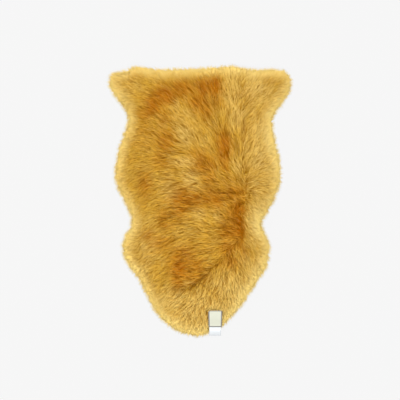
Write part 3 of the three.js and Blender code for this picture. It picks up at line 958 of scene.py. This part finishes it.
# Stitches: short spindles along the panel's edge, each a square section that swells from
# two ends, laid along the line of sewing and a little above the cloth.
def sewPanel():
    inset = stitch["inset"]
    half = panelWidths / 2 - inset
    centre = np.full(len(panelY), float(label["centre"]))
    left = np.stack([centre - half, panelLine[:, 0], panelLine[:, 1]], 1)
    right = np.stack([centre + half, panelLine[:, 0], panelLine[:, 1]], 1)
    keep = (panelY > panel["low"] + inset) & (panelY < panel["high"] - inset)
    lines = [left[keep], right[keep]]
    for row in (1, -2):
        lines.append(np.stack([left[row], right[row]]))
    points, ways = [], []
    for line in lines:
        whole = wayAlong(line)[-1]
        count = max(2, int(whole / stitch["pitch"]))
        at = (np.arange(count) + 0.5) / count * whole
        points.append(placesAlong(line, at))
        ways.append(unit(placesAlong(line, at + 0.5) - placesAlong(line, at - 0.5)))
    middle, way = np.concatenate(points), np.concatenate(ways)
    side = unit(np.cross(np.array([0, 0, 1.0]), way))
    over = np.cross(way, side)
    reach = np.array([-1, -0.6, 0, 0.6, 1]) * stitch["length"] / 2
    swell = np.array([0.25, 0.8, 1, 0.8, 0.25]) * stitch["thick"] / 2
    dip = np.array([-0.5, -0.1, 0, -0.1, -0.5]) * stitch["thick"]
    angle = np.pi / 4 + np.arange(4) * np.pi / 2
    centreLine = middle[:, None] + way[:, None] * reach[None, :, None]
    centreLine = centreLine + over[:, None] * (stitch["lift"] + dip)[None, :, None]
    ring = (side[:, None, None] * np.cos(angle)[None, None, :, None]
            + over[:, None, None] * np.sin(angle)[None, None, :, None])
    body = centreLine[:, :, None] + ring * swell[None, :, None, None]
    rings, corners = len(reach), len(angle)
    last = (rings - 1) * corners
    first = (np.arange(len(middle)) * rings * corners)[:, None, None]
    caps = np.array([[3, 2, 1, 0], [last, last + 1, last + 2, last + 3]])
    quads = np.vstack([gridFaces(rings, corners, True), caps])
    return body.reshape(-1, 3), (first + quads).reshape(-1, 4)


def threadMaterial():
    material, tree, shader = newMaterial("sewingThread")
    place = addNode(tree, "TexCoord")["Object"]
    twist = addNode(tree, "TexNoise", {"Scale": stitch["twistScale"], "Vector": place})
    fill(tree, shader, {
        "Base Color": mixColour(tree, twist["Fac"], stitch["dark"], stitch["light"]),
        "Roughness": stitch["roughness"],
    })
    return material


stitchPoints, stitchQuads = sewPanel()
stitches = makePiece("panelStitches", placed(stitchPoints), [stitchQuads], threadMaterial())
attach(stitches, "root")


# The wool: tapered strands that run along the lie of the wool

wool = {
    "strands": 54000,
    "sideShare": 3.0,             # how much denser they stand on the sides than on top
    "length": (24, 42),
    "steps": (0, 0.2, 0.58, 1),   # rings along a strand, by the share of its length
    "risen": (0, 0.62, 0.94, 1),  # how far it has come up to its own level by then
    "taper": (0.85, 1, 0.72),     # its width at each ring, before the pointed tip
    "width": 1.9,
    "thickness": 1.2,
    "thinnest": 0.8,              # of that, with up to sizeSpread more
    "sizeSpread": 0.4,
    "turn": 5,                    # degrees that a strand strays from the lie
    "curl": 15,                   # degrees that its tip curls away
    "ruffled": 1.2,               # how much more it strays where it is ruffled
    "rimStray": 0.5,              # and the share of that near the rim
    "rimCalm": (10, 60),          # how far inside the outline that is so
    "sink": (-1.2, 3.4),          # how far below the top of the wool the tips end
    "sinkLeast": 12,              # the lowest top that this is measured against
    "sideUp": 0.8,                # below 1, more of the strands on the sides reach up
    "gather": 1.7,                # how far they are drawn towards the nearest streak's ridge
    "gatherOver": 1.5,            # how far to each side that ridge is looked for
    "gatherFrom": (5, 60),        # and how far inside the outline it starts
    "labelFree": 14,              # how far from the label the streaks reach their full height
    "raisedFrom": 30,             # the top from which they do so
    "floorGap": 0.9,              # the lowest that a strand runs, with up to floorSpread more
    "floorSpread": 0.8,
    "lowest": 0.3,                # the lowest of any point
    "rimBand": (-12, 6),          # how far inside the outline the tips at the rim end
    "rimThins": 2.6,              # how fast they grow fewer outwards
    "rimTuft": 0.9,               # how far tufts carry the tips in and out there
    "rimTufts": [(1, 15, 81), (0.6, 7, 82)],  # share, size and seed
    "rimWidth": 0.6,              # how thin the strands are there
    "rimThin": (-30, -10),
    "shortest": 5,
    "leastShare": 0.1,
    "overPanel": 5,               # how far the wool falls over the panel's upper edge
    "overEven": 0.25,             # the share of that in the middle, more at the sides
    "fallAside": 1.15,            # the wool that does so, by half the panel's width
    "fallFrom": (-1, 60),         # and by how far past the edge it stands
    "belowRibbon": 0.9,           # clear of the ribbon, and of the panel above it
    "abovePanel": 0.7,
    "crossed": (16, 14),          # how far it starts across the divide, and how near to it
    "seed": 7,
}
# How the wool's places and streaks show in its tone: painted highlight on the streaks'
# ridges and painted shade in their grooves and in the creases
strandTone = {
    "bright": 0.54,
    # these four are for plain wool, and how much more where it is dyed and where ruffled
    "ridgeHighlight": (0.1, 0.2, 0.1),
    "grooveShade": (0.09, 0.22, 0.15),
    "dyeUneven": (0.05, 0.12, 0),
    "uneven": (0.07, 0.06, 0.05),
    "evened": 0.03,               # less of that at the rim, and again where pale
    "paleLight": 0.14,
    "rimLight": 0.12,
    "rimShine": (-22, 4),         # from the outline inwards, where the wool catches the light
    "edge": (-75, -10),           # and where little of the root's colour shows
    "creaseShade": 0.8,
    "brightRange": (-0.5, 1.5),
    # what ridges, grooves, tips and creases add to the dye and to the paleness: painted highlight on
    # ridges, painted shade in grooves and creases
    "ridgeHighlightDye": -0.22, "grooveShadeDye": 0.12, "tipDye": -0.2, "creaseShadeDye": 0.4,
    "grooveShadePale": -0.4, "tipPale": 0.25, "creaseShadePale": -0.5, "paleUneven": 0.07,
    "creaseTip": -0.7,            # and what of a crease is gone at the tips
    "divideBare": (0.15, 12),     # the root's colour left out at the divide, and how near to it
    "edgeBare": 0.6, "paleBare": 0.35, "grooveShadeAlong": -0.3,
}


# Places spread over the deep wool, denser on its sides, and whether each is on a side.
def rootsOn(points, quads, count, rng):
    corners = points[quads]
    cross = np.cross(corners[:, 2] - corners[:, 0], corners[:, 3] - corners[:, 1])
    area = np.linalg.norm(cross, axis=1) / 2
    outer = quads[:, 0] < (len(fleece["side"]) - 1) * fleece["around"]
    total = np.cumsum(area * np.where(outer, wool["sideShare"], 1))
    spots = (np.arange(count) + rng.random(count)) / count * total[-1]
    chosen = np.searchsorted(total, spots)
    u, v = rng.random((2, count, 1))
    c = corners[chosen]
    place = (c[:, 0] * (1 - u) + c[:, 1] * u) * (1 - v) + (c[:, 3] * (1 - u) + c[:, 2] * u) * v
    return place, outer[chosen]


# The flat path of each strand: from its root it steps along the lie of the wool where it
# has come to, turned by its own angle and more towards the tip.
def strandPaths(root, length, turn, curl):
    spots = [root]
    steps = wool["steps"]
    for k in range(1, len(steps)):
        heading = turned(lieAt(spots[-1]), turn + curl * (steps[k] + steps[k - 1]) / 2)
        spots.append(spots[-1] + heading * (length * (steps[k] - steps[k - 1]))[:, None])
    return np.stack(spots, 1)


# the share of its way at which each strand first meets a crease; a weak crease lets some by
def creaseMet(flat, ends, rng):
    share = np.ones(len(flat))
    for strength, width, line in creases:
        stopped = rng.random(len(flat)) < strength
        for a, b in stretches(line):
            first, last = sideOf(a, b, flat), sideOf(a, b, ends)
            meets = stopped & (first * last < 0) & (sideOf(flat, ends, a) * sideOf(flat, ends, b) < 0)
            share = np.where(meets, np.minimum(share, first / np.where(meets, first - last, 1)), share)
    return share


# Strands that would pass the outline end at it, in a band that thins outwards, those that
# meet a crease end there, and those above the panel end a little way over its edge.
def fittedLength(flat, length, turn, curl, rng):
    ends = strandPaths(flat, length, turn, curl)[:, -1]
    first, last = insetAt(flat), insetAt(ends)
    low, high = wool["rimBand"]
    meet = flat + (ends - flat) * np.clip(first / np.maximum(first - last, 1), 0, 1)[:, None]
    tufted = sum(part * noiseAt(meet, size, seed) for part, size, seed in wool["rimTufts"])
    stop = high - (high - low) * rng.random(len(flat)) ** wool["rimThins"] + wool["rimTuft"] * tufted
    share = np.where(last < stop, (first - stop) / np.maximum(first - last, 1), 1)
    share = np.minimum(share, creaseMet(flat, ends, rng))
    half = panel["highWidth"] / 2
    aside = np.abs(flat[:, 0] - label["centre"]) / half
    past = flat[:, 1] - panel["high"]
    near, far = wool["fallFrom"]
    falling = (aside < wool["fallAside"]) & (past > near) & (past < far)
    edge = panel["high"] - wool["overPanel"] * (wool["overEven"] + aside**3) * rng.random(len(flat))
    drop = (flat[:, 1] - edge) / np.maximum(flat[:, 1] - ends[:, 1], 1)
    share = np.where(falling & (ends[:, 1] < edge), np.minimum(share, drop), share)
    return np.maximum(length * np.clip(share, wool["leastShare"], 1), wool["shortest"]), falling


# Under the ribbon the wool stays below it and fills the space up to it; the wool that
# falls over the panel's upper edge lies on the panel.
def laidAtLabel(paths, height, falling):
    x, y = paths[..., 0], paths[..., 1]
    inside = (np.abs(x - label["centre"]) < panel["highWidth"] / 2) & (y < panel["high"] + 1)
    line = ribbonHeight(y)
    under = line - label["thickness"] / 2 - wool["belowRibbon"]
    over = line + panelRise + panel["thickness"] / 2 + wool["abovePanel"]
    height = np.where(inside & ~falling[:, None], np.minimum(height, under), height)
    return np.where(inside & falling[:, None], np.maximum(height, over), height)


# how deep in a groove between locks each place lies
def grooveOf(ridge):
    return smoothStep(-ridge, *streak["grooveFrom"])


# The strands' paths. Each strays by its own turn and curl, more where ruffled and less near
# the rim, is drawn sideways to the nearest ridge of the streaks, and starts a little way back
# across the divide where it is near. Its height is a share of the top of the wool, which
# grows from the share at its root to nearly 1 at its tip, raised along the ridges.
def growWool():
    rng = np.random.default_rng(wool["seed"])
    count = wool["strands"]
    root, outer = rootsOn(fleecePoints, fleeceFaces[0], count, rng)
    flat = root[:, :2]
    low, high = wool["length"]
    length = low + (high - low) * rng.random(count)
    stray = 1 + wool["ruffled"] * patchStrength(flat, ruffles)
    turn = np.radians(wool["turn"]) * stray * rng.normal(0, 1, count)
    curl = np.radians(wool["curl"]) * stray * rng.normal(0, 1, count)
    least = wool["rimStray"]
    calm = least + (1 - least) * smoothStep(insetAt(flat), *wool["rimCalm"])
    turn, curl = turn * calm, curl * calm
    length, falling = fittedLength(flat, length, turn, curl, rng)
    paths = strandPaths(flat, length, turn, curl)
    least = streak["leastAtRim"]
    ridge = streakAt(flat) * (least + (1 - least) * smoothStep(insetAt(flat), *streak["fromRim"]))
    aside = turned(lieAt(flat), np.full(count, np.pi / 2))
    over = wool["gatherOver"] * aside
    slope = streakAt(flat + over) - streakAt(flat - over)
    drawn = wool["gather"] * np.clip(slope, -1, 1) * smoothStep(insetAt(flat), *wool["gatherFrom"])
    paths = paths + aside[:, None, :] * (drawn[:, None] * np.array(wool["steps"])[None])[..., None]
    back, near = wool["crossed"]
    back = back * nearLine(flat, divide, near) * rng.random(count) * (1 - creaseAt(flat)).clip(0)
    paths = paths - (lieAt(flat) * back[:, None])[:, None, :]
    top = topAt(paths)
    start = root[:, 2] / top[:, 0]
    low, high = wool["sink"]
    sunk = low + (high - low) * rng.random(count)
    onTop = 1 - sunk / np.maximum(top[:, -1], wool["sinkLeast"])
    onSide = start + (1 - start) * rng.random(count) ** wool["sideUp"]
    final = np.where(outer, onSide, onTop)
    risen = np.array(wool["risen"])[None]
    height = top * (start[:, None] * (1 - risen) + final[:, None] * risen)
    free = smoothStep(besideLabel(flat), 0, wool["labelFree"])
    groove = grooveOf(ridge)
    raised = streak["height"] * ridge - streak["groove"] * groove
    height = height + (raised * free)[:, None] * risen * np.clip(top / wool["raisedFrom"], 0, 1)
    height = np.maximum(height, wool["floorGap"] + wool["floorSpread"] * rng.random((count, 1)))
    height = laidAtLabel(paths, height, falling)
    return np.dstack([paths, height]), ridge, groove, rng


# a weight for plain wool, with more of it where the wool is dyed and where it is ruffled
def weighed(weights, dye, ruffle):
    plain, dyed, ruffled = weights
    return plain + dyed * dye + ruffled * ruffle


# Three points round the path at each ring, wide to the sides and thin upwards, and one at
# the tip; each point carries its tone. Ridges are lighter and grooves darker, as painted
# highlight and painted shade, each strand is a little lighter or darker than its neighbours,
# and creases darken the roots at them with painted shade.
def strandBodies(paths, ridge, groove, rng):
    count, rings = len(paths), len(wool["taper"])
    along = unit(np.gradient(paths, axis=1))
    side = unit(np.cross(np.array([0, 0, 1.0]), along))
    over = np.cross(along, side)
    angle = np.pi / 2 + np.arange(3) * 2 * np.pi / 3
    root, late = paths[:, 0, :2], paths[:, 2, :2]
    size = wool["thinnest"] + wool["sizeSpread"] * rng.random((count, 1))
    size = np.array(wool["taper"])[None, :] * size
    thinned = smoothStep(-insetAt(root), *wool["rimThin"])
    size = size * (1 - (1 - wool["rimWidth"]) * thinned)[:, None]
    wide = (wool["width"] / 2 * size)[..., None] * np.cos(angle)
    thick = (wool["thickness"] / 2 * size)[..., None] * np.sin(angle)
    body = (
        paths[:, :rings, None, :]
        + side[:, :rings, None, :] * wide[..., None]
        + over[:, :rings, None, :] * thick[..., None]
    )
    body[..., 2] = np.maximum(body[..., 2], wool["lowest"])
    points = np.concatenate([body.reshape(count, rings * 3, 3), paths[:, rings:]], 1)
    look = strandTone
    dye, pale = toneAt(late)
    progress = np.concatenate([np.repeat(wool["steps"][:rings], 3), [1.0]])
    own = rng.normal(0, 1, (3, count))
    shine = smoothStep(-insetAt(late), *look["rimShine"])
    edge = smoothStep(-insetAt(root), *look["edge"])
    least, near = look["divideBare"]
    bare = np.maximum(look["edgeBare"] * edge, look["paleBare"] * pale)
    bare = np.maximum(least * nearLine(root, divide, near), bare)
    ruffle = patchStrength(root, ruffles)
    # crease: the creases' painted shade, fading towards the tips
    crease = creaseAt(root)[:, None] * (1 + look["creaseTip"] * progress)
    # ridges less dyed and lighter as painted highlight, grooves more dyed, less pale and darker as
    # painted shade
    dyed = dye * (1 + look["ridgeHighlightDye"] * ridge) + look["grooveShadeDye"] * groove
    dyed = dyed + weighed(look["dyeUneven"], dye, ruffle) * own[0]
    paled = pale * (1 + look["grooveShadePale"] * groove) + look["paleUneven"] * own[1]
    bright = look["bright"] + weighed(look["ridgeHighlight"], dye, ruffle) * ridge
    bright = bright - weighed(look["grooveShade"], dye, ruffle) * groove
    uneven = weighed(look["uneven"], dye, ruffle) - look["evened"] * (edge + pale)
    bright = bright + uneven * own[2] + look["paleLight"] * pale + look["rimLight"] * shine
    spread = lambda value: np.broadcast_to(value[:, None], (count, len(progress)))
    dyed = spread(dyed) * (1 + look["tipDye"] * progress) + look["creaseShadeDye"] * crease
    paled = spread(paled) * (1 + look["creaseShadePale"] * crease)
    paled = paled + spread((1 - dye) ** 2) * look["tipPale"] * progress**2
    return points, {
        "dye": np.clip(dyed, 0, 1),
        "pale": np.clip(paled, 0, 1),
        "strand": np.clip(spread(bright) - look["creaseShade"] * crease, *look["brightRange"]),
        # grooves take more of the root's colour as painted shade
        "along": np.maximum(progress * (1 + look["grooveShadeAlong"] * groove)[:, None], spread(bare)),
    }


# each strand's faces: three sides between rings, a closed root and a pointed tip
def strandFaces(rings):
    last = (rings - 1) * 3
    tip = [[last + i, last + (i + 1) % 3, last + 3] for i in range(3)]
    return gridFaces(rings, 3, True), np.vstack([tip, [[2, 1, 0]]])


strandLines, *strandTraits = growWool()
woolPoints, woolValues = strandBodies(strandLines, *strandTraits)
bandNames = ["woolNarrowEnd", "woolLower", "woolMiddle", "woolUpper", "woolFlatEnd"]
bandEnds = np.quantile(strandLines[:, 0, 1], [0.2, 0.4, 0.6, 0.8])
bandOf = np.searchsorted(bandEnds, strandLines[:, 0, 1])
sideFaces, endFaces = strandFaces(len(wool["taper"]))
for band, name in enumerate(bandNames):
    chosen = bandOf == band
    points = woolPoints[chosen]
    first = (np.arange(len(points)) * points.shape[1])[:, None, None]
    piece = makePiece(
        name, placed(points.reshape(-1, 3)),
        [(first + sideFaces).reshape(-1, 4), (first + endFaces).reshape(-1, 3)],
        dyedWool, values={key: value[chosen].ravel() for key, value in woolValues.items()},
    )
    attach(piece, "root")


# The hide: the tanned skin that the wool stands on, seen from the back

hide = {
    "inset": 34, "thickness": 2.5, "around": 420,
    "uneven": 1.4, "unevenParts": 90, "seed": 95,             # its edge as cut
    "rings": (0, 1.5, 5, 12, 24, 42, 66, 96, 132, 176, 226),  # from its edge inwards
    "heartFrom": 1.15,  # how far the middle point is, by the last ring
    "edgeRound": 0.3,   # the share of its thickness that is rounded off at the edge
    "tabRaise": 1.7, "tabRoom": 7, "tabSlope": 14,
    "suede": (0.82, 0.66, 0.42, 1), "suedeDark": (0.66, 0.49, 0.27, 1), "roughness": 0.95,
    "cloudScale": 14.0, "cloudDetail": 5.0, "napScale": 900.0, "napDepth": 0.0003,
}


# Rings inwards from the edge, the lower ones at the floor and the upper ones a thickness
# above, both raised over the ribbon's tab, and each closed at a middle point.
def hideSurface():
    share = np.arange(hide["around"]) / hide["around"]
    uneven = hide["uneven"] * noise(share * hide["unevenParts"], 0 * share, hide["seed"])
    edge = rimAt(share, hide["inset"] + uneven)
    reach = hide["rings"][-1] * hide["heartFrom"]
    flats = np.stack([edge * (1 - t / reach) + heart * t / reach for t in hide["rings"]])
    beside = np.maximum(
        np.abs(flats[..., 0] - label["centre"]) - label["width"] / 2,
        flats[..., 1] - label["tabStart"],
    )
    raised = hide["tabRaise"] * (1 - smoothStep(beside - hide["tabRoom"], 0, hide["tabSlope"]))
    lower = np.dstack([flats, raised])
    upper = np.dstack([flats, raised + hide["thickness"]])
    lower[0, :, 2] += hide["edgeRound"] * hide["thickness"]
    upper[0, :, 2] -= hide["edgeRound"] * hide["thickness"]
    poles = [[*heart, 0], [*heart, hide["thickness"]]]
    points = np.vstack([lower[::-1].reshape(-1, 3), upper.reshape(-1, 3), poles])
    rows, around = 2 * len(flats), hide["around"]
    ahead = np.roll(edge, -1, 0)
    area = 0.5 * abs(np.sum(edge[:, 0] * ahead[:, 1] - ahead[:, 0] * edge[:, 1]))
    return points, [gridFaces(rows, around, True), *endFans(rows, around)], edge, area


def suedeMaterial():
    material, tree, shader = newMaterial("suede")
    place = addNode(tree, "TexCoord")["Object"]
    cloud = addNode(tree, "TexNoise", {
        "Scale": hide["cloudScale"], "Detail": hide["cloudDetail"], "Vector": place,
    })
    nap = addNode(tree, "TexNoise", {"Scale": hide["napScale"], "Vector": place})
    bump = addNode(tree, "Bump", {"Distance": hide["napDepth"], "Height": nap["Fac"]})
    fill(tree, shader, {
        "Base Color": mixColour(tree, cloud["Fac"], hide["suedeDark"], hide["suede"]),
        "Normal": bump[0], "Roughness": hide["roughness"],
    })
    return material


hidePoints, hideFaces, hideEdge, hideArea = hideSurface()
hidePiece = makePiece("hide", placed(hidePoints), hideFaces, suedeMaterial())
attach(hidePiece, "root")
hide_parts("sheepskin")


# Floor, light and camera

studio = {
    "floorSize": 14, "floorDrop": 0.0003, "floor": 0.01, "floorGlow": 0.897,
    "floorRoughness": 0.9, "floorSpecular": 0.1,
    "world": 1.3, "sun": 2.4, "sunSize": 50, "sunLean": (-22, -11),
    "lens": 80.0,
    "pixel": 3.512,       # millimetres that one of the picture's points covers
    "imageWidth": 400, "aim": (0, 4.2, 15),
}


def makeStage():
    bpy.ops.mesh.primitive_plane_add(size=studio["floorSize"], location=(0, 0, -studio["floorDrop"]))
    floor = bpy.context.object
    floor.name = "floor"
    material, tree, shader = newMaterial("floorPaper")
    fill(tree, shader, {
        "Base Color": (studio["floor"],) * 3 + (1,), "Roughness": studio["floorRoughness"],
        "Specular IOR Level": studio["floorSpecular"],
        "Emission Color": (1, 1, 1, 1), "Emission Strength": studio["floorGlow"],
    })
    floor.data.materials.append(material)
    world = bpy.data.worlds.new("studio")
    bpy.context.scene.world = world
    world.use_nodes = True
    background = world.node_tree.nodes["Background"]
    fill(world.node_tree, background, {"Color": (1, 1, 1, 1), "Strength": studio["world"]})
    light = bpy.data.lights.new("softSun", "SUN")
    light.energy = studio["sun"]
    light.angle = math.radians(studio["sunSize"])
    lamp = bpy.data.objects.new("softSun", light)
    lamp.location = (-1, 1, 2)
    lamp.rotation_euler = [math.radians(angle) for angle in studio["sunLean"]] + [0]
    bpy.context.scene.collection.objects.link(lamp)


def makeCamera():
    camera = bpy.data.cameras.new("camera")
    camera.lens = studio["lens"]
    holder = bpy.data.objects.new("camera", camera)
    acrossFrame = studio["imageWidth"] * studio["pixel"] * 0.001
    height = acrossFrame / 2 / (camera.sensor_width / 2 / camera.lens)
    aim = placed(studio["aim"])
    holder.location = (aim[0], aim[1], aim[2] + height)
    bpy.context.scene.collection.objects.link(holder)
    bpy.context.scene.camera = holder


makeStage()
makeCamera()
bpy.context.scene.view_settings.view_transform = "Standard"
print("stage made")
